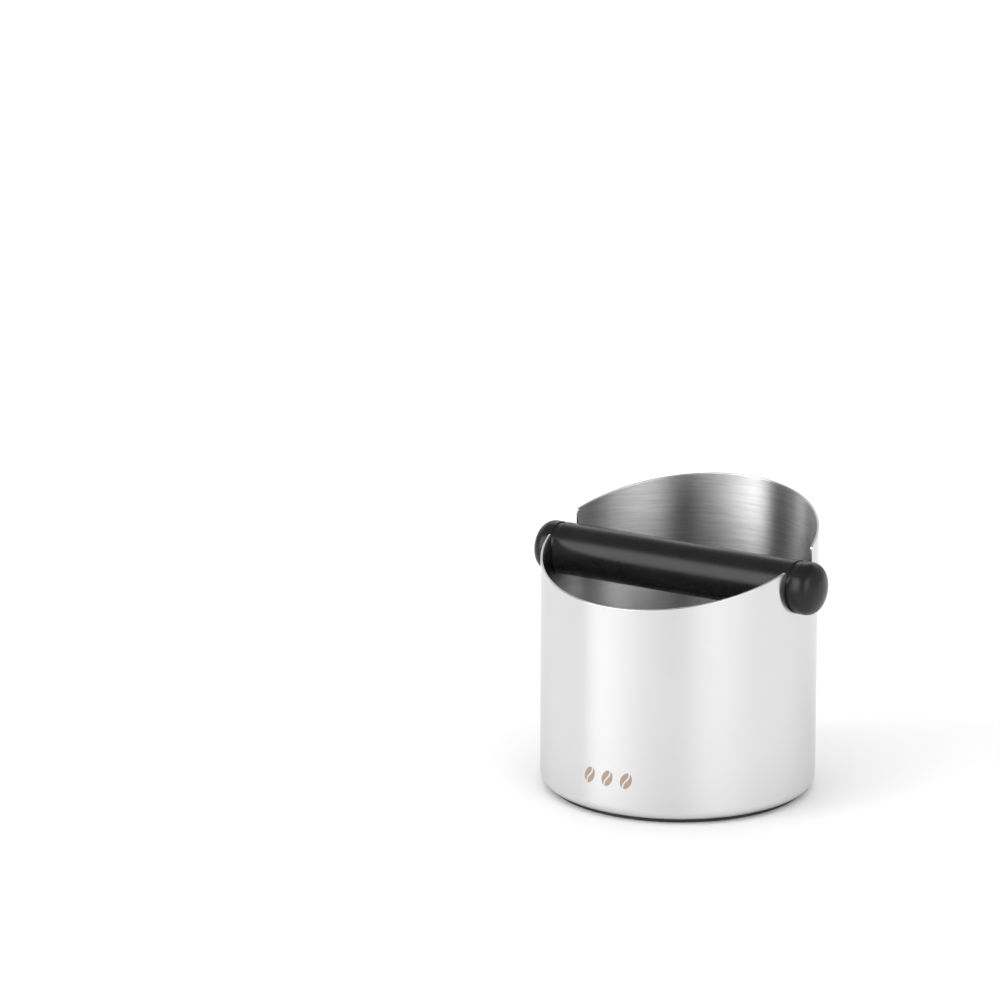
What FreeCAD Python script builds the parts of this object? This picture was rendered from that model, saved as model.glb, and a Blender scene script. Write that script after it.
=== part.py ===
import FreeCAD, Part

import math
import os

import Sketcher

# Espresso knock box: an open steel can with an obliquely cut rim, and a rubber knock bar that
# lies in two open slots in its wall. Millimetres.
# Origin: centre of the underside of the foot ring, on the surface that the box stands on.
# +X runs along the knock bar, -Y faces the low front of the rim, +Z is up.

DIMENSIONS = {
    # can
    "can_radius": 64.0,
    "wall": 1.0,
    "corner_radius": 4.5,
    "base_height": 1.9,
    "panel_radius": 46.0,
    "panel_rise": 1.0,
    "panel_slope": 1.5,
    "rim_front_height": 100.5,
    "rim_back_height": 133.7,
    "rim_edge_radius": 0.25,
    "cut_margin": 3.0,
    # slots in the wall
    "slot_radius": 11.8,
    "slot_tip_radius": 1.5,
    # foot ring and the tape that holds it
    "foot_outer_radius": 59.2,
    "foot_inner_radius": 50.0,
    "foot_edge_radius": 0.4,
    "tape_height": 0.2,
    "tape_inset": 0.8,
    # outside of the knock bar
    "bar_height": 104.0,
    "bar_radius": 12.2,
    "bar_half_length": 75.2,
    "bar_edge_radius": 0.4,
    "neck_radius": 11.65,
    "neck_inner_end": 61.8,
    "neck_outer_end": 64.3,
    "crown_depth": 4.2,
    "shoulder_radius": 6.0,
    # inside of the knock bar
    "core_radius": 6.0,
    "core_half_length": 61.5,
    "core_chamfer": 0.6,
    "tap_depth": 12.0,
    "stud_radius": 3.0,
    "stud_inner_end": 50.5,
    "stud_chamfer": 0.5,
    "head_radius": 5.0,
    "head_inner_end": 66.0,
    "head_outer_end": 68.0,
    "running_clearance": 0.08,
}

TOLERANCE = 1e-4
LEAST_CUT = 1.0
FULL_TURN = 360
HALF_TURN = 180
X_AXIS_GEOMETRY = -1
Y_AXIS_GEOMETRY = -2
START, END, CENTRE = 1, 2, 3


class Length:
    """A length with both its present value and the sheet expression that gives it."""

    def __init__(self, text, value):
        self.text = text
        self.value = value

    def joined(self, other, sign, value):
        return Length(f"({self.text} {sign} {other.text})", value)

    def __add__(self, other):
        return self.joined(other, "+", self.value + other.value)

    def __sub__(self, other):
        return self.joined(other, "-", self.value - other.value)

    def __mul__(self, other):
        return self.joined(other, "*", self.value * other.value)

    def __truediv__(self, other):
        return self.joined(other, "/", self.value / other.value)

    def __neg__(self):
        return Length(f"(-{self.text})", -self.value)


ZERO = Length("0", 0.0)
TWO = Length("2", 2.0)


def make_sheet(document):
    """Put each driving dimension in a cell of its own, named by an alias."""
    sheet = document.addObject("Spreadsheet::Sheet", "dims")
    for row, (name, value) in enumerate(DIMENSIONS.items(), start=1):
        sheet.set(f"A{row}", name)
        sheet.set(f"B{row}", str(value))
        sheet.setAlias(f"B{row}", name)
    document.recompute()
    return {name: Length(f"dims.{name}", float(getattr(sheet, name))) for name in DIMENSIONS}


DOCUMENT = FreeCAD.newDocument("knock_box")
D = make_sheet(DOCUMENT)


def origin_feature(body, role):
    """One of the body's own origin planes or axes."""
    return next(item for item in body.Origin.OriginFeatures if item.Role == role)


def new_body(label):
    body = DOCUMENT.addObject("PartDesign::Body", label)
    body.Label = label
    return body


def new_sketch(body, name, plane):
    sketch = body.newObject("Sketcher::SketchObject", name)
    sketch.AttachmentSupport = [(origin_feature(body, plane), "")]
    sketch.MapMode = "FlatFace"
    return sketch


def pin_coordinate(sketch, kind, geometry, place, size):
    """Hold one coordinate of a sketch point at a length, or on the axis where it is zero."""
    if size is ZERO:
        axis = Y_AXIS_GEOMETRY if kind == "DistanceX" else X_AXIS_GEOMETRY
        sketch.addConstraint(Sketcher.Constraint("PointOnObject", geometry, place, axis))
        return
    index = sketch.addConstraint(Sketcher.Constraint(kind, geometry, place, size.value))
    sketch.setExpression(f"Constraints[{index}]", size.text)


def pin_point(sketch, geometry, place, point):
    pin_coordinate(sketch, "DistanceX", geometry, place, point[0])
    pin_coordinate(sketch, "DistanceY", geometry, place, point[1])


def vector(point):
    return FreeCAD.Vector(point[0].value, point[1].value, 0)


def add_edge(sketch, start, end, middle=None):
    """Add a line, or an arc through a middle point; give its number and its start and end places.

    The sketch stores a clockwise arc the other way round, so its places are looked up.
    """
    if middle is None:
        return sketch.addGeometry(Part.LineSegment(start, end)), START, END
    number = sketch.addGeometry(Part.Arc(start, middle, end))
    if sketch.getPoint(number, START).distanceToPoint(start) < TOLERANCE:
        return number, START, END
    return number, END, START


def round_corner(before, corner, after, radius):
    """The start, middle and end of the arc that rounds a corner between two straight edges."""
    towards_before = (before - corner).normalize()
    towards_after = (after - corner).normalize()
    inward = (towards_before + towards_after).normalize()
    half_angle = towards_before.getAngle(towards_after) / 2
    setback = radius / math.tan(half_angle)
    middle = corner + inward * (radius / math.sin(half_angle) - radius)
    return corner + towards_before * setback, middle, corner + towards_after * setback


def draw_outline(sketch, points, arcs=None, rounded=None):
    """Draw a closed outline through points.

    arcs maps an edge's number to a point half way along it and the height of its centre.
    rounded maps a corner's number to its radius.
    """
    arcs = arcs or {}
    rounded = rounded or {}
    count = len(points)
    corners = [vector(point) for point in points]
    blends = {}
    for number, radius in rounded.items():
        before, after = corners[number - 1], corners[(number + 1) % count]
        blends[number] = round_corner(before, corners[number], after, radius.value)
    edges = []
    for number in range(count):
        following = (number + 1) % count
        start = blends[number][2] if number in blends else corners[number]
        end = blends[following][0] if following in blends else corners[following]
        middle = arcs[number][0] if number in arcs else None
        edges.append(add_edge(sketch, start, end, middle))
    for number, point in enumerate(points):
        before, after = edges[number - 1], edges[number]
        if number in blends:
            hold_rounded_corner(sketch, before, after, point, blends[number], rounded[number])
        else:
            hold_sharp_corner(sketch, before, after, point)
        if number in arcs:
            pin_coordinate(sketch, "DistanceY", after[0], CENTRE, arcs[number][1])


def hold_sharp_corner(sketch, before, after, point):
    """Join two edges at a pinned corner."""
    joint = Sketcher.Constraint("Coincident", before[0], before[2], after[0], after[1])
    sketch.addConstraint(joint)
    pin_point(sketch, after[0], after[1], point)


def hold_rounded_corner(sketch, before, after, point, blend_points, radius):
    """Aim two straight edges at a pinned corner and join them by an arc tangent to both."""
    start, middle, end = blend_points
    blend = add_edge(sketch, start, end, middle)
    corner = sketch.addGeometry(Part.Point(vector(point)), True)
    pin_point(sketch, corner, START, point)
    for number, _, _ in (before, after):
        sketch.addConstraint(Sketcher.Constraint("PointOnObject", corner, START, number))
    arrival = Sketcher.Constraint("Tangent", before[0], before[2], blend[0], blend[1])
    departure = Sketcher.Constraint("Tangent", blend[0], blend[2], after[0], after[1])
    sketch.addConstraint([arrival, departure])
    index = sketch.addConstraint(Sketcher.Constraint("Radius", blend[0], radius.value))
    sketch.setExpression(f"Constraints[{index}]", radius.text)


def revolve(body, name, plane, axis, points, arcs=None):
    """Turn a closed outline once about an axis of its sketch."""
    sketch = new_sketch(body, f"{name}_profile", plane)
    draw_outline(sketch, points, arcs)
    turned = body.newObject("PartDesign::Revolution", name)
    turned.Profile = sketch
    turned.ReferenceAxis = (sketch, [axis])
    turned.Angle = FULL_TURN
    DOCUMENT.recompute()
    return turned


def cut_through(body, name, points, arcs=None, rounded=None):
    """Cut an outline in the YZ plane through the body along X, both ways."""
    volume_before = body.Shape.Volume
    sketch = new_sketch(body, f"{name}_outline", "YZ_Plane")
    draw_outline(sketch, points, arcs, rounded)
    pocket = body.newObject("PartDesign::Pocket", name)
    pocket.Profile = sketch
    pocket.Type = "ThroughAll"
    pocket.Midplane = True
    DOCUMENT.recompute()
    if body.Shape.Volume > volume_before - LEAST_CUT:
        raise RuntimeError(f"{name} cut nothing")
    return pocket


def edge_names(shape, test):
    """Names of the edges that pass a test, leaving out the point at the tip of a crown."""
    return [
        f"Edge{number}"
        for number, edge in enumerate(shape.Edges, start=1)
        if not edge.Degenerated and test(edge)
    ]


def dress(body, kind, name, size, test):
    """Fillet or chamfer the edges of the body's present shape that pass a test."""
    base = body.Tip
    names = edge_names(base.Shape, test)
    if not names:
        raise RuntimeError(f"{name} found no edges")
    feature = body.newObject(f"PartDesign::{kind}", name)
    feature.Base = (base, names)
    feature.setExpression("Radius" if kind == "Fillet" else "Size", size.text)
    DOCUMENT.recompute()
    return feature


def ring_test(radius, axis, *places):
    """A test for full circles of a radius, centred at any of some places along a global axis."""

    def test(edge):
        curve = edge.Curve
        if not isinstance(curve, Part.Circle) or abs(curve.Radius - radius.value) > TOLERANCE:
            return False
        place = getattr(curve.Center, axis)
        return any(abs(place - wanted.value) < TOLERANCE for wanted in places)

    return test


def rim_height(across):
    """Height of the rim's plane at a distance from the can's axis towards the back."""
    middle = (D["rim_back_height"] + D["rim_front_height"]) / TWO
    slope = (D["rim_back_height"] - D["rim_front_height"]) / (TWO * D["can_radius"])
    return middle + slope * across


def make_can_blank(body):
    """The drawn can before its rim is cut: wall, rounded lower corner and raised base panel."""
    outer = D["can_radius"]
    inner = outer - D["wall"]
    blank_height = D["rim_back_height"] + D["cut_margin"]
    slope_end = D["panel_radius"] - D["panel_slope"]
    base = D["base_height"]
    raised = base + D["panel_rise"]
    revolve(body, "can_blank", "XZ_Plane", "V_Axis", [
        (ZERO, raised),
        (slope_end, raised),
        (D["panel_radius"], base),
        (outer, base),
        (outer, blank_height),
        (inner, blank_height),
        (inner, base + D["wall"]),
        (D["panel_radius"], base + D["wall"]),
        (slope_end, raised + D["wall"]),
        (ZERO, raised + D["wall"]),
    ])
    outer_corner = ring_test(outer, "z", base)
    dress(body, "Fillet", "outer_corner", D["corner_radius"], outer_corner)
    inner_corner = ring_test(inner, "z", base + D["wall"])
    dress(body, "Fillet", "inner_corner", D["corner_radius"] - D["wall"], inner_corner)


def cut_rim_and_slots(body):
    """Cut the can off along the rim's plane, with the two U slots that the bar's necks lie in."""
    reach = D["can_radius"] + D["cut_margin"]
    top = D["rim_back_height"] + D["cut_margin"] * TWO
    half = D["slot_radius"]
    centre = D["bar_height"]
    slot_bottom = FreeCAD.Vector(0, centre.value - half.value, 0)
    front_tip, slot_arc, back_tip = 1, 2, 4
    cut_through(
        body,
        "rim_cut",
        [
            (-reach, rim_height(-reach)),
            (-half, rim_height(-half)),
            (-half, centre),
            (half, centre),
            (half, rim_height(half)),
            (reach, rim_height(reach)),
            (reach, top),
            (-reach, top),
        ],
        {slot_arc: (slot_bottom, centre)},
        {front_tip: D["slot_tip_radius"], back_tip: D["slot_tip_radius"]},
    )


def soften_rim(body):
    """Break the sharp edges all along the rim and the slots, inside and outside."""
    outer = D["can_radius"].value
    inner = outer - D["wall"].value
    slot_bottom = D["bar_height"].value - D["slot_radius"].value

    def crosses_wall(edge):
        radii = [math.hypot(corner.X, corner.Y) for corner in edge.Vertexes]
        return max(radii) - min(radii) > TOLERANCE

    def on_free_edge(edge):
        if edge.BoundBox.ZMin < slot_bottom - TOLERANCE or crosses_wall(edge):
            return False
        middle = edge.valueAt((edge.FirstParameter + edge.LastParameter) / 2)
        radius = math.hypot(middle.x, middle.y)
        return min(abs(radius - outer), abs(radius - inner)) < TOLERANCE

    dress(body, "Fillet", "rim_edges", D["rim_edge_radius"], on_free_edge)


def make_body_shell():
    body = new_body("body_shell")
    make_can_blank(body)
    cut_rim_and_slots(body)
    soften_rim(body)
    return body


def ring_outline(inner, outer, low, high):
    return [(inner, low), (outer, low), (outer, high), (inner, high)]


def make_foot_ring():
    """Rubber ring that the box stands on."""
    body = new_body("foot_ring")
    outer = D["foot_outer_radius"]
    inner = D["foot_inner_radius"]
    top = D["base_height"] - D["tape_height"]
    revolve(body, "ring", "XZ_Plane", "V_Axis", ring_outline(inner, outer, ZERO, top))
    for name, radius in (("outer_edge", outer), ("inner_edge", inner)):
        dress(body, "Fillet", name, D["foot_edge_radius"], ring_test(radius, "z", ZERO))
    return body


def make_foot_tape():
    """Ring of adhesive tape between the foot ring and the can."""
    body = new_body("foot_tape")
    outer = D["foot_outer_radius"] - D["tape_inset"]
    inner = D["foot_inner_radius"] + D["tape_inset"]
    top = D["base_height"]
    low = top - D["tape_height"]
    revolve(body, "tape", "XZ_Plane", "V_Axis", ring_outline(inner, outer, low, top))
    return body


def place_on_bar(body, turned=False):
    """Raise a piece modelled about the X axis to the bar's height, facing -X if it is turned."""
    if turned:
        half_turn = FreeCAD.Rotation(FreeCAD.Vector(0, 0, 1), HALF_TURN)
        body.Placement = FreeCAD.Placement(FreeCAD.Vector(), half_turn)
    body.setExpression("Placement.Base.z", D["bar_height"].text)
    DOCUMENT.recompute()


def make_bar_core():
    """Steel rod with a tapped hole in each end."""
    body = new_body("bar_core")
    end = D["core_half_length"]
    tap_end = end - D["tap_depth"]
    hole = D["stud_radius"]
    revolve(body, "rod", "XZ_Plane", "H_Axis", [
        (-end, hole),
        (-end, D["core_radius"]),
        (end, D["core_radius"]),
        (end, hole),
        (tap_end, hole),
        (tap_end, ZERO),
        (-tap_end, ZERO),
        (-tap_end, hole),
    ])
    rod_ends = ring_test(D["core_radius"], "x", end, -end)
    dress(body, "Chamfer", "rod_ends", D["core_chamfer"], rod_ends)
    place_on_bar(body)
    return body


def make_bar_sleeve():
    """Rubber tube round the core, between the can's walls."""
    body = new_body("bar_sleeve")
    end = D["neck_inner_end"]
    bore = D["core_radius"] + D["running_clearance"]
    revolve(body, "tube", "XZ_Plane", "H_Axis", [
        (-end, bore),
        (-end, D["bar_radius"]),
        (end, D["bar_radius"]),
        (end, bore),
    ])
    tube_ends = ring_test(D["bar_radius"], "x", end, -end)
    dress(body, "Fillet", "tube_ends", D["bar_edge_radius"], tube_ends)
    place_on_bar(body)
    return body


def make_knob(label, turned):
    """Rubber end of the bar: a neck that lies in the slot, and a crowned head outside the wall."""
    body = new_body(label)
    gap = D["running_clearance"]
    bore = D["stud_radius"] + gap
    pocket_radius = D["head_radius"] + gap
    pocket_start = D["head_inner_end"] - gap
    pocket_end = D["head_outer_end"] + gap
    crown_start = D["bar_half_length"] - D["crown_depth"]
    depth = D["crown_depth"].value
    radius = D["bar_radius"].value
    crown_radius = (depth**2 + radius**2) / (2 * depth)
    half_way = radius / 2
    crown_centre = D["bar_half_length"].value - crown_radius
    on_crown = crown_centre + (crown_radius**2 - half_way**2) ** 0.5
    crown = 4
    revolve(
        body,
        "knob",
        "XZ_Plane",
        "H_Axis",
        [
            (D["neck_inner_end"], bore),
            (D["neck_inner_end"], D["neck_radius"]),
            (D["neck_outer_end"], D["neck_radius"]),
            (D["neck_outer_end"], D["bar_radius"]),
            (crown_start, D["bar_radius"]),
            (D["bar_half_length"], ZERO),
            (pocket_end, ZERO),
            (pocket_end, pocket_radius),
            (pocket_start, pocket_radius),
            (pocket_start, bore),
        ],
        {crown: (FreeCAD.Vector(on_crown, half_way, 0), ZERO)},
    )
    shoulder = ring_test(D["bar_radius"], "x", crown_start)
    dress(body, "Fillet", "shoulder", D["shoulder_radius"], shoulder)
    wall_edge = ring_test(D["bar_radius"], "x", D["neck_outer_end"])
    dress(body, "Fillet", "wall_edge", D["bar_edge_radius"], wall_edge)
    place_on_bar(body, turned)
    return body


def make_knob_stud(label, turned):
    """Steel stud screwed into the core, with a round head that holds the knob on."""
    body = new_body(label)
    revolve(body, "stud", "XZ_Plane", "H_Axis", [
        (D["stud_inner_end"], ZERO),
        (D["stud_inner_end"], D["stud_radius"]),
        (D["head_inner_end"], D["stud_radius"]),
        (D["head_inner_end"], D["head_radius"]),
        (D["head_outer_end"], D["head_radius"]),
        (D["head_outer_end"], ZERO),
    ])
    point = ring_test(D["stud_radius"], "x", D["stud_inner_end"])
    dress(body, "Chamfer", "point", D["stud_chamfer"], point)
    place_on_bar(body, turned)
    return body


def make_pieces():
    pieces = [make_body_shell(), make_foot_ring(), make_foot_tape()]
    pieces += [make_bar_core(), make_bar_sleeve()]
    for side, turned in (("right", False), ("left", True)):
        pieces.append(make_knob(f"knob_{side}", turned))
        pieces.append(make_knob_stud(f"knob_stud_{side}", turned))
    return pieces


def check_document(pieces):
    """Stop if a feature failed or a piece isn't one sound solid."""
    DOCUMENT.recompute()
    for item in DOCUMENT.Objects:
        if "Invalid" in item.State or "Error" in item.State:
            raise RuntimeError(f"{item.Label} failed: {item.State}")
    for piece in pieces:
        shape = piece.Shape
        if shape.isNull() or not shape.isValid() or len(shape.Solids) != 1:
            raise RuntimeError(f"{piece.Label} isn't one sound solid")


def write_pieces(pieces):
    os.makedirs("parts", exist_ok=True)
    for piece in pieces:
        piece.Shape.exportStep(f"parts/{piece.Label}.step")
        print(f"{piece.Label}: {piece.Shape.Volume / 1000:.2f} cm3")


PIECES = make_pieces()
check_document(PIECES)
write_pieces(PIECES)
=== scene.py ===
import math

import bpy
import numpy as np
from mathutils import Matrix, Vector


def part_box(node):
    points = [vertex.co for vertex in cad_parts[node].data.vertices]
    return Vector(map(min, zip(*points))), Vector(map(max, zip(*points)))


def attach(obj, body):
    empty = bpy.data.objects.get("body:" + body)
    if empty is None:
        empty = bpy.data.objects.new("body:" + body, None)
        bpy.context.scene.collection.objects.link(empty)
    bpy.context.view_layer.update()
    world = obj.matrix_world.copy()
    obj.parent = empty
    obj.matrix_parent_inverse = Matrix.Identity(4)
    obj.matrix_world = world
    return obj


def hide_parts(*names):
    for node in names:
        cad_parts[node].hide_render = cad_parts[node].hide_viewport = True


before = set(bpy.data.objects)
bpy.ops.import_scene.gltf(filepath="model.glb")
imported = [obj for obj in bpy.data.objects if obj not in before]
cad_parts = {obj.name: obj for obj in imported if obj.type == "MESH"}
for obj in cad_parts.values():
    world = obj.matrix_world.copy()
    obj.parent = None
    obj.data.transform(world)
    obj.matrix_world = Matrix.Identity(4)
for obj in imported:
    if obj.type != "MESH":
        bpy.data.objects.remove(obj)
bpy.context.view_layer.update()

# Looks of the espresso knock box. Metres, in the CAD frame: +X along the bar, -Y to the low
# front of the rim, +Z up. Azimuths round the can are measured from the front (-Y) towards +X.

# The CAD's own box, taken before any visual piece is built.
MM = 0.001

# --- sizes read from the frame ---------------------------------------------------------------
SHELL_LOW, SHELL_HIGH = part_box("body_shell")
SLEEVE_LOW, SLEEVE_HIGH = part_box("bar_sleeve")
KNOB_LOW, KNOB_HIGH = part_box("knob_right")
FOOT_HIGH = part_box("foot_ring")[1]
STUD_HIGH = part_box("knob_stud_right")[1]
CORE_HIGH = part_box("bar_core")[1]
CAN_RADIUS = SHELL_HIGH.x
BASE_HEIGHT = SHELL_LOW.z
BAR_HEIGHT = (SLEEVE_LOW.z + SLEEVE_HIGH.z) / 2
BAR_RADIUS = (SLEEVE_HIGH.z - SLEEVE_LOW.z) / 2
BAR_END = KNOB_HIGH.x
NECK_START = KNOB_LOW.x
SLEEVE_END = SLEEVE_HIGH.x
CORE_RADIUS = CORE_HIGH.z - BAR_HEIGHT
HEAD_RADIUS = STUD_HIGH.z - BAR_HEIGHT
HEAD_END = STUD_HIGH.x
FOOT_RADIUS = FOOT_HIGH.x
FOOT_TOP = FOOT_HIGH.z

# --- sizes of the design that no box gives ---------------------------------------------------
WALL = 1.0 * MM
CORNER_RADIUS = 4.5 * MM
PANEL_RADIUS = 46.0 * MM
PANEL_RISE = 1.0 * MM
PANEL_SLOPE = 1.5 * MM
PANEL_ROUND = 2.0 * MM
RIM_FRONT = 100.5 * MM
RIM_BACK = 133.7 * MM
RIM_EDGE = 0.3 * MM
SLOT_RADIUS = 11.8 * MM
TIP_RADIUS = 1.5 * MM
NECK_RADIUS = 11.65 * MM
NECK_END = 64.3 * MM
CROWN_DEPTH = 4.2 * MM
SHOULDER_RADIUS = 6.0 * MM
BAR_EDGE = 0.4 * MM
STUD_RADIUS = 3.0 * MM
HEAD_THICKNESS = 2.0 * MM
CLEARANCE = 0.08 * MM
FOOT_INNER_RADIUS = 50.0 * MM
FOOT_EDGE = 0.4 * MM
FOOT_GROOVES = 5
GROOVE_WIDTH = 0.7 * MM
GROOVE_DEPTH = 0.3 * MM
AXIS_HOLE = 0.15 * MM

# The can's skin stands back by the mark's relief, so that the mark stays inside the CAD.
MARK_RELIEF = 0.03 * MM
SKIN_RADIUS = CAN_RADIUS - MARK_RELIEF


# --- outlines --------------------------------------------------------------------------------
def unit(vectors):
    return vectors / np.linalg.norm(vectors, axis=-1, keepdims=True)


def rounded_outline(corners, side, closed=False, arc_steps=6, longest=8 * MM):
    """Points and normals of a polyline whose corners (x, y, radius) are rounded.

    side is 1 when the solid's outside lies to the left of the way along it, -1 to the right.
    """
    places = [np.array(corner[:2]) for corner in corners]
    count = len(corners)
    points = []
    ways = []

    def step_to(place, way):
        if points:
            start = points[-1]
            pieces = math.ceil(np.linalg.norm(place - start) / longest)
            for piece in range(1, pieces):
                points.append(start + (place - start) * piece / pieces)
                ways.append(way)
        points.append(place)
        ways.append(way)

    for index, here in enumerate(places):
        radius = corners[index][2]
        starts = index == 0 and not closed
        ends = index == count - 1 and not closed
        way_in = None if starts else unit(here - places[index - 1])
        way_out = None if ends else unit(places[(index + 1) % count] - here)
        if starts or ends:
            step_to(here, way_out if starts else way_in)
            continue
        turn = math.atan2(way_in[0] * way_out[1] - way_in[1] * way_out[0], way_in @ way_out)
        start = here - way_in * radius * math.tan(abs(turn) / 2)
        centre = start + math.copysign(radius, turn) * np.array([-way_in[1], way_in[0]])
        for step in range(arc_steps + 1):
            angle = turn * step / arc_steps
            cosine, sine = math.cos(angle), math.sin(angle)
            turned = np.array([[cosine, -sine], [sine, cosine]])
            place = centre + turned @ (start - centre)
            if step == 0:
                step_to(place, way_in)
            else:
                points.append(place)
                ways.append(turned @ way_in)
    ways = np.array(ways)
    return np.array(points), side * np.stack([-ways[:, 1], ways[:, 0]], axis=-1)


def arc(centre, radius, start, end, steps):
    """Points of an arc and their normals, away from its centre, at angles in degrees."""
    angles = np.radians(np.linspace(start, end, steps + 1))
    normals = np.stack([np.cos(angles), np.sin(angles)], axis=-1)
    return np.array(centre) + radius * normals, normals


# --- meshes ----------------------------------------------------------------------------------
TURN_STEPS = 160


def make_piece(name, rows, normals, closed, finishes, materials):
    """A mesh through rows of points, each row a ring; normals may be None.

    closed joins the last row to the first; otherwise both end rows are capped with a fan.
    """
    count = len(rows[0])
    verts = np.concatenate(rows)
    columns = np.arange(count)
    beside = (columns + 1) % count
    faces = []
    face_finishes = []
    bands = len(rows) if closed else len(rows) - 1
    for row in range(bands):
        this, other = row * count, (row + 1) % len(rows) * count
        quads = np.stack([this + columns, this + beside, other + beside, other + columns], axis=-1)
        faces.extend(quads.tolist())
        face_finishes.extend([finishes[row]] * count)
    if not closed:
        for row, order in ((0, (1, 0)), (len(rows) - 1, (0, 1))):
            pairs = np.stack([columns, beside], axis=-1) + row * count
            centres = np.full(count, len(verts))
            fan = np.stack([pairs[:, order[0]], pairs[:, order[1]], centres], axis=-1)
            faces.extend(fan.tolist())
            face_finishes.extend([finishes[min(row, bands - 1)]] * count)
            verts = np.vstack([verts, rows[row].mean(axis=0)])
    mesh = bpy.data.meshes.new(name)
    mesh.from_pydata(verts.tolist(), [], faces)
    for material in materials:
        mesh.materials.append(material)
    mesh.polygons.foreach_set("use_smooth", [True] * len(faces))
    mesh.polygons.foreach_set("material_index", face_finishes)
    mesh.validate()
    if normals is not None:
        directions = np.concatenate(normals)
        if not closed:
            ends = [unit(normals[0].mean(axis=0)), unit(normals[-1].mean(axis=0))]
            directions = np.vstack([directions, ends])
        mesh.normals_split_custom_set_from_vertices(unit(directions).tolist())
    piece = bpy.data.objects.new(name, mesh)
    bpy.context.scene.collection.objects.link(piece)
    return piece


def turned_piece(name, outline, axis, place, material, closed, flip=1):
    """A piece turned about X or Z through a place, from an outline of (along, radius) points.

    flip is -1 for the mirror image, which points the other way along X.
    """
    points, directions = outline
    angles = flip * np.linspace(0, 2 * math.pi, TURN_STEPS, endpoint=False)
    across, up = np.cos(angles), np.sin(angles)
    still = np.ones(TURN_STEPS)

    def ring(along, radius):
        parts = {
            "X": (still * along * flip, across * radius, up * radius),
            "Z": (across * radius, up * radius, still * along),
        }
        return np.stack(parts[axis], axis=-1)

    rows = [ring(*point) + np.array(place) for point in points]
    normals = [ring(*direction) for direction in directions]
    return make_piece(name, rows, normals, closed, [0] * len(rows), [material])


# --- the can ---------------------------------------------------------------------------------
RIM_STEPS = 150
TIP_STEPS = 8
SLOT_STEPS = 40
FRONT_SIDE_STEPS = 10
BACK_SIDE_STEPS = 16
EDGE_STEPS = 4
BASE_STEPS = 10

# How far down the wall its rows lie: close together at the rim, where its outline turns sharply.
WALL_SHARES = (0, 0.004, 0.012, 0.03, 0.07, 0.14, 0.24, 0.36, 0.5, 0.64, 0.77, 0.89, 1)

# Radius of the innermost row of the base, which a fan closes.
FAN_RADIUS = 2.0 * MM

OUTSIDE, INSIDE, EDGE = range(3)


def around(radius, azimuths, height):
    """Points at a radius from the Z axis, at azimuths measured from the front."""
    azimuths, height = np.broadcast_arrays(azimuths, height)
    return np.stack([radius * np.sin(azimuths), -radius * np.cos(azimuths), height], axis=-1)


def rim_height(across):
    """Height of the rim's plane at a distance behind the can's axis."""
    share = (across / CAN_RADIUS + 1) / 2
    return RIM_FRONT + (RIM_BACK - RIM_FRONT) * share


def tip_arc(sign):
    """The rounded tip where the rim meets a slot's side, front (-1) or back (1), in YZ."""
    slope = math.atan2(RIM_BACK - RIM_FRONT, 2 * CAN_RADIUS)
    across = sign * (SLOT_RADIUS + TIP_RADIUS)
    centre = (across, rim_height(across) - TIP_RADIUS / math.cos(slope))
    on_rim = math.degrees(slope) + 90
    angles = (on_rim, 0) if sign < 0 else (180, on_rim)
    return arc(centre, TIP_RADIUS, *angles, TIP_STEPS)[0].tolist()


def half_free_edge(radius):
    """The can's free edge on its right half, front to back, as (across, height) points."""
    front_tip, back_tip = tip_arc(-1), tip_arc(1)
    slot = arc((0, BAR_HEIGHT), SLOT_RADIUS, 180, 360, SLOT_STEPS)[0].tolist()
    front_end = math.acos(-front_tip[0][0] / radius)
    back_start = math.acos(-back_tip[-1][0] / radius)
    front_side = np.linspace(front_tip[-1][1], BAR_HEIGHT, FRONT_SIDE_STEPS + 1)[1:-1]
    back_side = np.linspace(BAR_HEIGHT, back_tip[0][1], BACK_SIDE_STEPS + 1)[1:-1]
    front_rim = -radius * np.cos(np.linspace(0, front_end, RIM_STEPS + 1)[:-1])
    back_rim = -radius * np.cos(np.linspace(back_start, math.pi, RIM_STEPS + 1)[1:])
    points = [(across, rim_height(across)) for across in front_rim]
    points += front_tip
    points += [(-SLOT_RADIUS, height) for height in front_side]
    points += slot
    points += [(SLOT_RADIUS, height) for height in back_side]
    points += back_tip
    points += [(across, rim_height(across)) for across in back_rim]
    return np.array(points)


def free_edge(radius):
    """The whole free edge at a radius: its points, radial normals and cut surface's normals."""
    half = half_free_edge(radius)
    side = np.sqrt(np.maximum(radius**2 - half[:, 0] ** 2, 0))
    right = np.column_stack([side, half])
    along = np.gradient(half, axis=0)
    cut = unit(np.column_stack([0 * side, -along[:, 1], along[:, 0]]))
    points = np.vstack([right, right[-2:0:-1] * (-1, 1, 1)])
    return points, unit(points * (1, 1, 0)), np.vstack([cut, cut[-2:0:-1]])


def edge_rows(corner, side, cut):
    """Rows of the rounded edge between a side of the wall and the cut surface, from the side."""
    reach = RIM_EDGE / (1 + (side * cut).sum(axis=1, keepdims=True))
    centre = corner - reach * (side + cut)
    shares = np.linspace(0, 1, EDGE_STEPS + 1)
    facings = [unit((1 - share) * side + share * cut) for share in shares]
    return [centre + RIM_EDGE * facing for facing in facings], facings


def wall_rows(edge, base_azimuths, radius, facing):
    """Rows of the wall from its free edge down to where the lower corner starts."""
    azimuths = np.unwrap(np.arctan2(edge[:, 0], -edge[:, 1]))
    low = BASE_HEIGHT + CORNER_RADIUS
    rows = []
    normals = []
    for share in WALL_SHARES:
        turned = azimuths * (1 - share) + base_azimuths * share
        height = edge[:, 2] * (1 - share) + low * share
        rows.append(around(radius, turned, height))
        normals.append(facing * around(1, turned, 0))
    return rows, normals


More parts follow.
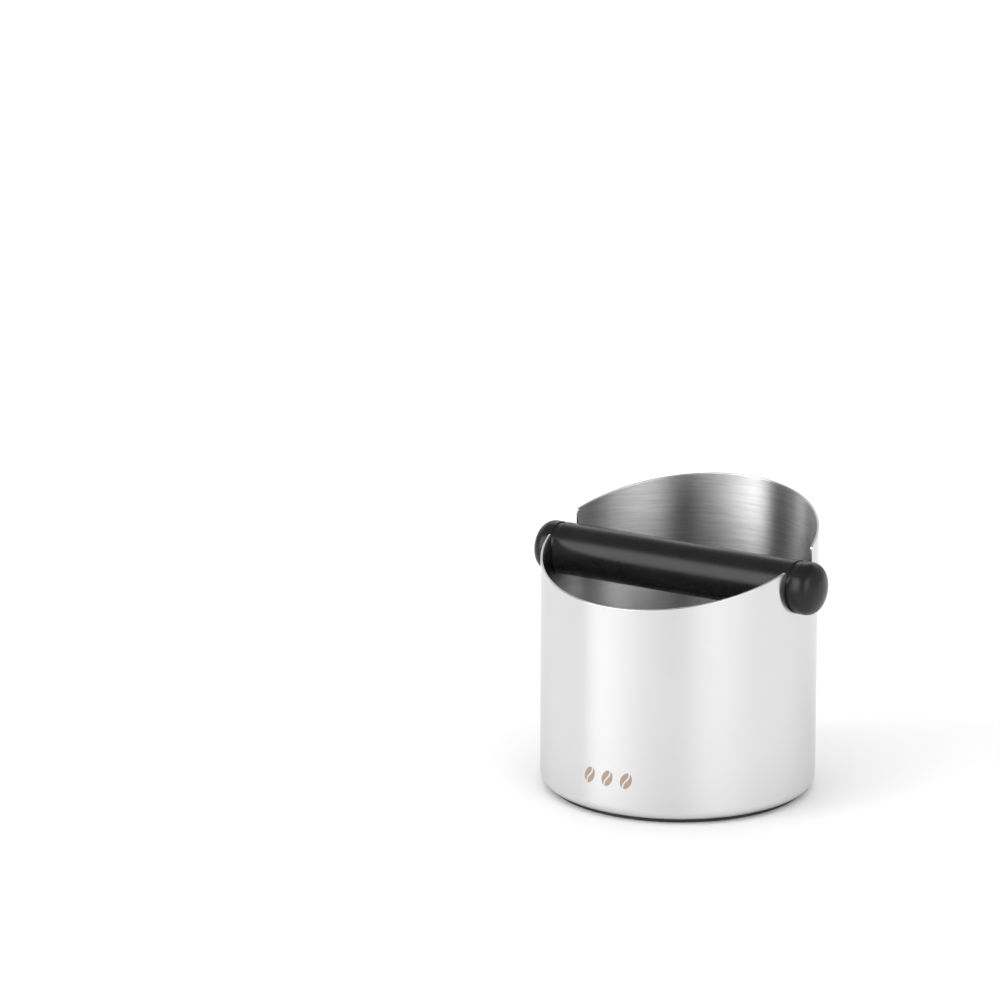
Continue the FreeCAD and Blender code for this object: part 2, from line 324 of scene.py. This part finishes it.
def base_rows(corners, base_azimuths):
    """Rows of one side of the base, from its (radius, height, rounding) corners."""
    points, directions = rounded_outline(corners, -1, arc_steps=BASE_STEPS)
    rows = [around(radius, base_azimuths, height) for radius, height in points]
    upright = np.array((0, 0, 1))
    normals = [around(1, base_azimuths, 0) * out + upright * rise for out, rise in directions]
    return rows, normals


def build_can(materials):
    """The can as one closed skin: underside, outer wall, rim, inner wall and floor."""
    inner_radius = CAN_RADIUS - WALL
    outer, outer_out, outer_cut = free_edge(SKIN_RADIUS)
    inner, inner_out, inner_cut = free_edge(inner_radius)
    outer_edge = edge_rows(outer, outer_out, outer_cut)
    inner_edge = edge_rows(inner, -inner_out, inner_cut)
    steps = np.linalg.norm(np.roll(outer, -1, axis=0) - outer, axis=1)
    base_azimuths = 2 * math.pi * np.concatenate([[0], np.cumsum(steps)[:-1]]) / steps.sum()
    low = BASE_HEIGHT
    rows, normals, finishes = [], [], []

    def add(more, finish, backwards=False, part=slice(None)):
        order = -1 if backwards else 1
        rows.extend(more[0][part][::order])
        normals.extend(more[1][part][::order])
        finishes.extend([finish] * len(more[0][part]))

    slope_end = PANEL_RADIUS - PANEL_SLOPE
    under = base_rows([
        (FAN_RADIUS, low + PANEL_RISE, 0),
        (slope_end, low + PANEL_RISE, PANEL_ROUND),
        (PANEL_RADIUS, low, PANEL_ROUND),
        (SKIN_RADIUS, low, CORNER_RADIUS),
        (SKIN_RADIUS, low + CORNER_RADIUS, 0),
    ], base_azimuths)
    add(under, OUTSIDE, part=slice(None, -2))
    outer_wall = wall_rows(outer_edge[0][0], base_azimuths, SKIN_RADIUS, 1)
    add(outer_wall, OUTSIDE, backwards=True)
    add(outer_edge, EDGE, part=slice(1, None))
    add(inner_edge, EDGE, backwards=True, part=slice(1, None))
    add(wall_rows(inner_edge[0][0], base_azimuths, inner_radius, -1), INSIDE)
    over = base_rows([
        (inner_radius, low + CORNER_RADIUS, 0),
        (inner_radius, low + WALL, CORNER_RADIUS - WALL),
        (PANEL_RADIUS, low + WALL, PANEL_ROUND),
        (slope_end, low + WALL + PANEL_RISE, PANEL_ROUND),
        (FAN_RADIUS, low + WALL + PANEL_RISE, 0),
    ], base_azimuths)
    add(over, INSIDE, part=slice(2, None))
    return make_piece("can", rows, normals, False, finishes, materials)


# --- the bar and the foot --------------------------------------------------------------------
SHOULDER_STEPS = 14
CROWN_STEPS = 24


def sleeve_outline():
    """Closed outline of the rubber sleeve, as (along, radius) points and normals."""
    bore = CORE_RADIUS + CLEARANCE
    bore_edge = 0.2 * MM
    return rounded_outline([
        (-SLEEVE_END, bore, bore_edge),
        (-SLEEVE_END, BAR_RADIUS, BAR_EDGE),
        (SLEEVE_END, BAR_RADIUS, BAR_EDGE),
        (SLEEVE_END, bore, bore_edge),
    ], 1, closed=True)


def knob_outline():
    """Outline of a knob, from the end of the stud's pocket round to the crown's tip."""
    pocket = HEAD_RADIUS + CLEARANCE
    bore = STUD_RADIUS + CLEARANCE
    pocket_end = HEAD_END + CLEARANCE
    pocket_start = HEAD_END - HEAD_THICKNESS - CLEARANCE
    crown_radius = (CROWN_DEPTH**2 + BAR_RADIUS**2) / (2 * CROWN_DEPTH)
    crown_centre = BAR_END - crown_radius
    shoulder_height = BAR_RADIUS - SHOULDER_RADIUS
    gap = crown_radius - SHOULDER_RADIUS
    shoulder_along = crown_centre + math.sqrt(gap**2 - shoulder_height**2)
    meeting = math.degrees(math.asin(shoulder_height / gap))
    fine = 0.1 * MM
    body = rounded_outline([
        (pocket_end, AXIS_HOLE, 0),
        (pocket_end, pocket, fine),
        (pocket_start, pocket, fine),
        (pocket_start, bore, fine),
        (NECK_START, bore, fine),
        (NECK_START, NECK_RADIUS, fine),
        (NECK_END, NECK_RADIUS, fine),
        (NECK_END, BAR_RADIUS, BAR_EDGE),
        (shoulder_along, BAR_RADIUS, 0),
    ], 1, longest=2 * MM)
    shoulder = arc((shoulder_along, shoulder_height), SHOULDER_RADIUS, 90, meeting, SHOULDER_STEPS)
    tip = math.degrees(AXIS_HOLE / crown_radius)
    crown = arc((crown_centre, 0), crown_radius, meeting, tip, CROWN_STEPS)
    return (
        np.vstack([body[0][:-1], shoulder[0], crown[0][1:]]),
        np.vstack([body[1][:-1], shoulder[1], crown[1][1:]]),
    )


def foot_outline():
    """Closed outline of the foot ring, with round anti-slip grooves underneath."""
    fine = 0.15 * MM
    corners = [
        (0, FOOT_RADIUS, FOOT_EDGE),
        (FOOT_TOP, FOOT_RADIUS, fine),
        (FOOT_TOP, FOOT_INNER_RADIUS, fine),
        (0, FOOT_INNER_RADIUS, FOOT_EDGE),
    ]
    spacing = (FOOT_RADIUS - FOOT_INNER_RADIUS) / (FOOT_GROOVES + 1)
    for groove in range(1, FOOT_GROOVES + 1):
        start = FOOT_INNER_RADIUS + groove * spacing - GROOVE_WIDTH / 2
        corners += [
            (0, start, fine / 2),
            (GROOVE_DEPTH, start, fine / 2),
            (GROOVE_DEPTH, start + GROOVE_WIDTH, fine / 2),
            (0, start + GROOVE_WIDTH, fine / 2),
        ]
    return rounded_outline(corners, 1, closed=True, arc_steps=4, longest=2 * MM)


# --- the mark --------------------------------------------------------------------------------
MARK_HEIGHT = 19.6 * MM
BEAN_LENGTH = 8.0 * MM
BEAN_WIDTH = 5.4 * MM
BEAN_SPACING = 9.6 * MM
BEAN_LEAN = 24.0
BEAN_ROOT = 0.1 * MM
BEAN_STEPS = 120
BEAN_CENTRE = 0.04
BEAN_ROWS = 30
CREASE_WIDTH = 0.38 * MM
CREASE_BEND = 0.5 * MM

# In shares of the relief: how deep the crease cuts, so that it shows the steel, and how far the
# bean's surface falls towards its outline.
CREASE_DEPTH = 2.4
OUTLINE_FALL = 0.7


def build_bean(name, offset, material):
    """A coffee bean in thin relief on the can's front, with the curved crease of a bean."""
    lean = math.radians(BEAN_LEAN)
    angles = np.linspace(0, 2 * math.pi, BEAN_STEPS, endpoint=False)

    def ring(share, sunk=False):
        """Points at a share of the bean's size, on its surface or on its root in the wall."""
        wide = BEAN_WIDTH / 2 * share * np.cos(angles)
        long = BEAN_LENGTH / 2 * share * np.sin(angles)
        from_crease = wide - CREASE_BEND * np.sin(2 * math.pi * long / BEAN_LENGTH)
        crease = np.exp(-((from_crease / CREASE_WIDTH) ** 2))
        relief = MARK_RELIEF * (1 - CREASE_DEPTH * crease) * (1 - OUTLINE_FALL * share**4)
        radius = SKIN_RADIUS + (-BEAN_ROOT if sunk else relief)
        right = wide * math.cos(lean) + long * math.sin(lean) + offset
        up = long * math.cos(lean) - wide * math.sin(lean)
        return around(radius, right / CAN_RADIUS, MARK_HEIGHT + up)

    rows = [ring(share, sunk=True) for share in (BEAN_CENTRE, 0.5, 1.0)]
    rows += [ring(share) for share in np.linspace(1, BEAN_CENTRE, BEAN_ROWS)]
    return make_piece(name, rows, None, False, [0] * len(rows), [material])


# --- materials -------------------------------------------------------------------------------
# Heights between which the inside of the can goes over from painted light low down, which stands
# in for light reflected into the lower can, to painted shade above.
PAINTED_LIGHT_BAND = (78 * MM, 92 * MM)

# The values between which nearly all of a noise's factor lies.
NOISE_SPAN = (0.3, 0.7)

# A quarter turn, as the shader's anisotropic rotation counts it.
QUARTER_TURN = 0.25


def grey(level):
    return (level, level, level)


def new_material(name, settings):
    """A material with its Principled shader's own sockets set."""
    material = bpy.data.materials.new(name)
    material.use_nodes = True
    shader = material.node_tree.nodes["Principled BSDF"]
    for socket, value in settings.items():
        shader.inputs[socket].default_value = value
    return material, material.node_tree, shader


def add_node(tree, kind, settings=None, **attributes):
    node = tree.nodes.new(kind)
    for attribute, value in attributes.items():
        setattr(node, attribute, value)
    for socket, value in (settings or {}).items():
        node.inputs[socket].default_value = value
    return node


def socket_of(sockets, identifier):
    """A socket by its identifier, since a Mix node has several of each name."""
    return next(socket for socket in sockets if socket.identifier == identifier)


def noise(tree, scale, detail=4.0, roughness=0.55):
    """Noise over the object's own coordinates, at a scale for each axis, in features a metre."""
    place = add_node(tree, "ShaderNodeTexCoord")
    stretch = add_node(tree, "ShaderNodeVectorMath", operation="MULTIPLY")
    stretch.inputs[1].default_value = scale
    tree.links.new(place.outputs["Object"], stretch.inputs[0])
    texture = add_node(tree, "ShaderNodeTexNoise", {
        "Scale": 1.0, "Detail": detail, "Roughness": roughness,
    })
    tree.links.new(stretch.outputs[0], texture.inputs["Vector"])
    return texture.outputs["Fac"]


def map_range(tree, value, start, end, low=0.0, high=1.0, smooth=True):
    """Map a socket's value from start..end to low..high, with soft ends unless told otherwise."""
    node = add_node(tree, "ShaderNodeMapRange", {
        "From Min": start, "From Max": end, "To Min": low, "To Max": high,
    }, interpolation_type="SMOOTHSTEP" if smooth else "LINEAR")
    tree.links.new(value, node.inputs["Value"])
    return node.outputs["Result"]


def spread(tree, factor, low, high):
    """Map a noise's factor to a range of values."""
    return map_range(tree, factor, *NOISE_SPAN, low, high, smooth=False)


def blend_colours(tree, factor, first, second):
    """Mix two colours, each three numbers or a socket, by a factor's socket."""
    node = add_node(tree, "ShaderNodeMix", data_type="RGBA")
    tree.links.new(factor, socket_of(node.inputs, "Factor_Float"))
    for identifier, given in (("A_Color", first), ("B_Color", second)):
        socket = socket_of(node.inputs, identifier)
        if isinstance(given, tuple):
            socket.default_value = (*given, 1)
        else:
            tree.links.new(given, socket)
    return socket_of(node.outputs, "Result_Color")


def bump(tree, shader, height, strength, distance):
    """Raise and sink the surface with a height socket, by a distance in metres."""
    node = add_node(tree, "ShaderNodeBump", {"Strength": strength, "Distance": distance})
    tree.links.new(height, node.inputs["Height"])
    tree.links.new(node.outputs["Normal"], shader.inputs["Normal"])


def smear_upright(tree, shader):
    """Turn the polish's grain round the can, so that reflections smear up and down."""
    tangent = add_node(tree, "ShaderNodeTangent", direction_type="RADIAL", axis="Z")
    tree.links.new(tangent.outputs["Tangent"], shader.inputs["Tangent"])
    shader.inputs["Anisotropic Rotation"].default_value = QUARTER_TURN


def steel_outside():
    """Polished outside of the can, with the faint round grain and haze that polishing leaves."""
    material, tree, shader = new_material("steel_polished", {
        "Metallic": 1.0, "Anisotropic": 1.0, "Specular Tint": (*grey(0.88), 1),
    })
    smear_upright(tree, shader)
    grain = noise(tree, (30, 30, 1500), detail=3)
    haze = noise(tree, (38, 38, 22), detail=3)
    tree.links.new(spread(tree, haze, 0.165, 0.185), shader.inputs["Roughness"])
    colour = blend_colours(tree, grain, grey(0.67), grey(0.71))
    tree.links.new(colour, shader.inputs["Base Color"])
    return material


def steel_inside():
    """Satin inside of the can, brushed round and round; its colour holds painted light, brighter
    low down, and painted shade, duller above.
    """
    material, tree, shader = new_material("steel_brushed", {
        "Metallic": 1.0, "Anisotropic": 1.0,
    })
    smear_upright(tree, shader)
    coarse = noise(tree, (36, 36, 1500), detail=4, roughness=0.6)
    fine = noise(tree, (55, 55, 800), detail=4, roughness=0.65)
    tree.links.new(spread(tree, coarse, 0.31, 0.37), shader.inputs["Roughness"])
    place = add_node(tree, "ShaderNodeTexCoord")
    split = add_node(tree, "ShaderNodeSeparateXYZ")
    tree.links.new(place.outputs["Object"], split.inputs["Vector"])
    # Painted light and shade: the steel's colour is brighter below this band and darker above it,
    # standing in for light reflected low in the can.
    painted_light_share = map_range(tree, split.outputs["Z"], *PAINTED_LIGHT_BAND)
    painted_lit_colour = blend_colours(tree, fine, grey(0.78), grey(1.0))
    painted_shade_colour = blend_colours(tree, fine, grey(0.4), grey(0.82))
    tree.links.new(blend_colours(tree, painted_light_share, painted_lit_colour, painted_shade_colour), shader.inputs["Base Color"])
    bump(tree, shader, coarse, 0.5, 0.05 * MM)
    return material


def steel_edge():
    """Deburred edge of the rim and of the slots."""
    material, tree, shader = new_material("steel_edge", {"Metallic": 1.0})
    grain = noise(tree, (900, 900, 900), detail=3)
    tree.links.new(spread(tree, grain, 0.16, 0.26), shader.inputs["Roughness"])
    colour = blend_colours(tree, grain, grey(0.78), grey(0.86))
    tree.links.new(colour, shader.inputs["Base Color"])
    return material


def steel_drawn():
    """Drawn steel of the bar's core and studs, with the drawing lines along X."""
    material, tree, shader = new_material("steel_drawn", {"Metallic": 1.0})
    lines = noise(tree, (80, 4000, 4000), detail=3)
    patches = noise(tree, (150, 300, 300), detail=4)
    tree.links.new(spread(tree, lines, 0.25, 0.42), shader.inputs["Roughness"])
    colour = blend_colours(tree, patches, (0.42, 0.41, 0.4), (0.52, 0.51, 0.5))
    tree.links.new(colour, shader.inputs["Base Color"])
    bump(tree, shader, lines, 0.3, 0.02 * MM)
    return material


def rubber(name, dark, light, dullness, specular):
    """Moulded rubber: a fine satin grain, with slightly duller patches."""
    material, tree, shader = new_material(name, {"Specular IOR Level": specular})
    grain = noise(tree, (3500, 3500, 3500), detail=2)
    patches = noise(tree, (90, 90, 90), detail=2)
    tree.links.new(spread(tree, patches, *dullness), shader.inputs["Roughness"])
    tree.links.new(blend_colours(tree, patches, dark, light), shader.inputs["Base Color"])
    bump(tree, shader, grain, 0.06, 0.06 * MM)
    return material


def tape_film():
    """Cloudy adhesive film."""
    material, tree, shader = new_material("tape_film", {"Specular IOR Level": 0.4})
    clouds = noise(tree, (400, 400, 400), detail=4)
    tree.links.new(spread(tree, clouds, 0.35, 0.6), shader.inputs["Roughness"])
    colour = blend_colours(tree, clouds, (0.72, 0.72, 0.68), (0.8, 0.8, 0.77))
    tree.links.new(colour, shader.inputs["Base Color"])
    return material


def copper_print():
    """Copper-coloured print of the mark."""
    material, tree, shader = new_material("copper_print", {"Metallic": 0.5})
    grain = noise(tree, (1800, 1800, 1800), detail=3)
    tree.links.new(spread(tree, grain, 0.4, 0.55), shader.inputs["Roughness"])
    colour = blend_colours(tree, grain, (0.33, 0.24, 0.19), (0.39, 0.29, 0.235))
    tree.links.new(colour, shader.inputs["Base Color"])
    return material


def paint_node(node, material):
    """Give a CAD node's object a material in every slot."""
    thing = bpy.data.objects[node]
    if not thing.material_slots:
        thing.data.materials.append(material)
    for slot in thing.material_slots:
        slot.material = material


# --- the pieces ------------------------------------------------------------------------------
def build_pieces():
    can = build_can([steel_outside(), steel_inside(), steel_edge()])
    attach(can, "root")
    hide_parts("body_shell")

    copper = copper_print()
    for number, side in enumerate(("left", "middle", "right")):
        bean = build_bean("mark_bean_" + side, (number - 1) * BEAN_SPACING, copper)
        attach(bean, "root")

    foot_rubber = rubber("rubber_foot", grey(0.018), grey(0.03), (0.6, 0.75), 0.4)
    foot = turned_piece("foot", foot_outline(), "Z", (0, 0, 0), foot_rubber, True)
    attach(foot, "root")
    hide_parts("foot_ring")

    bar_rubber = rubber(
        "rubber_bar", (0.009, 0.009, 0.0095), (0.013, 0.013, 0.0135), (0.26, 0.31), 0.27
    )
    on_bar = (0, 0, BAR_HEIGHT)
    sleeve = turned_piece("sleeve", sleeve_outline(), "X", on_bar, bar_rubber, True)
    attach(sleeve, "bar_grip")
    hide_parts("bar_sleeve")
    for side, flip in (("left", -1), ("right", 1)):
        knob = turned_piece(
            "end_knob_" + side, knob_outline(), "X", on_bar, bar_rubber, False, flip
        )
        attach(knob, "bar_grip")
        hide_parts("knob_" + side)

    steel = steel_drawn()
    for node in ("bar_core", "knob_stud_left", "knob_stud_right"):
        paint_node(node, steel)
    paint_node("foot_tape", tape_film())


# --- the studio ------------------------------------------------------------------------------
# The camera as fitted to the photo: degrees, metres and millimetres of film.
VIEW_AZIMUTH = 32.131
VIEW_ELEVATION = 15.015
CAMERA_PLACE = (1.10191, -1.90981, 0.72695)
LENS = 178.97
SENSOR = 36.0
FAR_CLIP = 50.0

# Brightness of the studio round the horizon, by the azimuth in degrees from the camera's own
# side of the object, negative to its left: one tall soft panel at the left, a lower wide one
# at the right, and dim corners between them.
STUDIO = (
    (-180, 0.1), (-147, 0.08), (-135, 0.09), (-128, 0.12), (-119, 0.12), (-112, 0.02),
    (-92, 0.02), (-83, 0.15), (-80, 0.5), (-74, 0.88), (-67, 1.0), (-61, 0.88), (-50, 0.63),
    (-40, 0.44), (-30, 0.26), (-19, 0.14), (-9, 0.04), (0, 0.04), (9, 0.17), (17, 0.35),
    (25, 0.46), (36, 0.5), (47, 0.4), (58, 0.27), (70, 0.11), (85, 0.07), (180, 0.08),
)
PANEL_STRENGTH = 5.2

# Sines of the elevations between which those panels fade out.
PANEL_FADE = (0.58, 0.78)

# The high panel behind the object, by azimuth, and the sines of the elevations it spans.
BACK = ((-180, 1), (-148, 1), (-122, 0), (122, 0), (148, 1), (180, 1))
BACK_STRENGTH = 1.0
BACK_LOW = (0.2, 0.4)
BACK_HIGH = (0.45, 0.65)

# The even light of the whole studio, and the lamp above it.
TOP_LEVEL = 0.12
OVERHEAD_SIZE = 8.0
OVERHEAD_PLACE = (0, 1, 4)
OVERHEAD_POWER = 250
FLOOR_SIZE = 16.0


def build_floor():
    """Plain white floor, which stands apart from the object's bodies."""
    half = FLOOR_SIZE / 2
    mesh = bpy.data.meshes.new("floor")
    corners = [(-half, -half, 0), (half, -half, 0), (half, half, 0), (-half, half, 0)]
    mesh.from_pydata(corners, [], [(0, 1, 2, 3)])
    floor = bpy.data.objects.new("floor", mesh)
    bpy.context.scene.collection.objects.link(floor)
    material = new_material("floor_white", {
        "Base Color": (*grey(0.85), 1), "Roughness": 0.9, "Specular IOR Level": 0.1,
    })[0]
    mesh.materials.append(material)


def math_node(tree, operation, first, second):
    """A Math node on two inputs, each a socket or a number."""
    node = add_node(tree, "ShaderNodeMath", operation=operation)
    for socket, given in zip(node.inputs, (first, second)):
        if isinstance(given, (int, float)):
            socket.default_value = given
        else:
            tree.links.new(given, socket)
    return node.outputs[0]


def by_azimuth(tree, share, stops):
    """A level for each azimuth, from (degrees, level) stops."""
    ramp = add_node(tree, "ShaderNodeValToRGB")
    elements = ramp.color_ramp.elements
    elements.remove(elements[-1])
    for number, (degrees, level) in enumerate(stops):
        position = (degrees + 180) / 360
        stop = elements[0] if number == 0 else elements.new(position)
        stop.position = position
        stop.color = (*grey(level), 1)
    tree.links.new(share, ramp.inputs["Fac"])
    return ramp.outputs["Color"]


def panel(tree, share, stops, band, strength):
    """The light of a panel: its level by azimuth, times its band of elevations and strength."""
    level = math_node(tree, "MULTIPLY", by_azimuth(tree, share, stops), band)
    return math_node(tree, "MULTIPLY", level, strength)


def build_world():
    """A studio as the world: panels round the horizon and one high behind, under a dim top."""
    world = bpy.data.worlds.new("studio")
    bpy.context.scene.world = world
    world.use_nodes = True
    tree = world.node_tree
    place = add_node(tree, "ShaderNodeTexCoord")
    turn = add_node(tree, "ShaderNodeVectorRotate", rotation_type="Z_AXIS")
    turn.inputs["Angle"].default_value = -math.atan2(CAMERA_PLACE[0], -CAMERA_PLACE[1])
    parts = add_node(tree, "ShaderNodeSeparateXYZ")
    tree.links.new(place.outputs["Generated"], turn.inputs["Vector"])
    tree.links.new(turn.outputs[0], parts.inputs[0])

    forward = math_node(tree, "MULTIPLY", parts.outputs["Y"], -1)
    azimuth = math_node(tree, "ARCTAN2", parts.outputs["X"], forward)
    share = map_range(tree, azimuth, -math.pi, math.pi, smooth=False)
    rise = parts.outputs["Z"]

    fade = map_range(tree, rise, *PANEL_FADE, 1.0, 0.0)
    panels = panel(tree, share, STUDIO, fade, PANEL_STRENGTH)
    starts = map_range(tree, rise, *BACK_LOW)
    ends = map_range(tree, rise, *BACK_HIGH, 1.0, 0.0)
    back = panel(tree, share, BACK, math_node(tree, "MULTIPLY", starts, ends), BACK_STRENGTH)
    whole = math_node(tree, "ADD", math_node(tree, "ADD", panels, back), TOP_LEVEL)
    background = tree.nodes["Background"]
    background.inputs["Color"].default_value = (1, 1, 1, 1)
    tree.links.new(whole, background.inputs["Strength"])


def build_overhead():
    """A large soft lamp above, which lights the floor but isn't mirrored in the steel."""
    data = bpy.data.lights.new("overhead", "AREA")
    data.size = OVERHEAD_SIZE
    data.energy = OVERHEAD_POWER
    lamp = bpy.data.objects.new("overhead", data)
    lamp.location = OVERHEAD_PLACE
    lamp.visible_glossy = False
    bpy.context.scene.collection.objects.link(lamp)


def build_camera():
    """The camera, and the plain colour transform that leaves the white floor white."""
    azimuth, elevation = math.radians(VIEW_AZIMUTH), math.radians(VIEW_ELEVATION)
    ahead = Vector((
        -math.sin(azimuth) * math.cos(elevation),
        math.cos(azimuth) * math.cos(elevation),
        -math.sin(elevation),
    ))
    data = bpy.data.cameras.new("camera")
    data.lens = LENS
    data.sensor_width = SENSOR
    data.clip_end = FAR_CLIP
    camera = bpy.data.objects.new("camera", data)
    camera.location = CAMERA_PLACE
    camera.rotation_euler = ahead.to_track_quat("-Z", "Y").to_euler()
    bpy.context.scene.collection.objects.link(camera)
    bpy.context.scene.camera = camera
    bpy.context.scene.view_settings.view_transform = "Standard"


build_pieces()
build_floor()
build_world()
build_overhead()
build_camera()
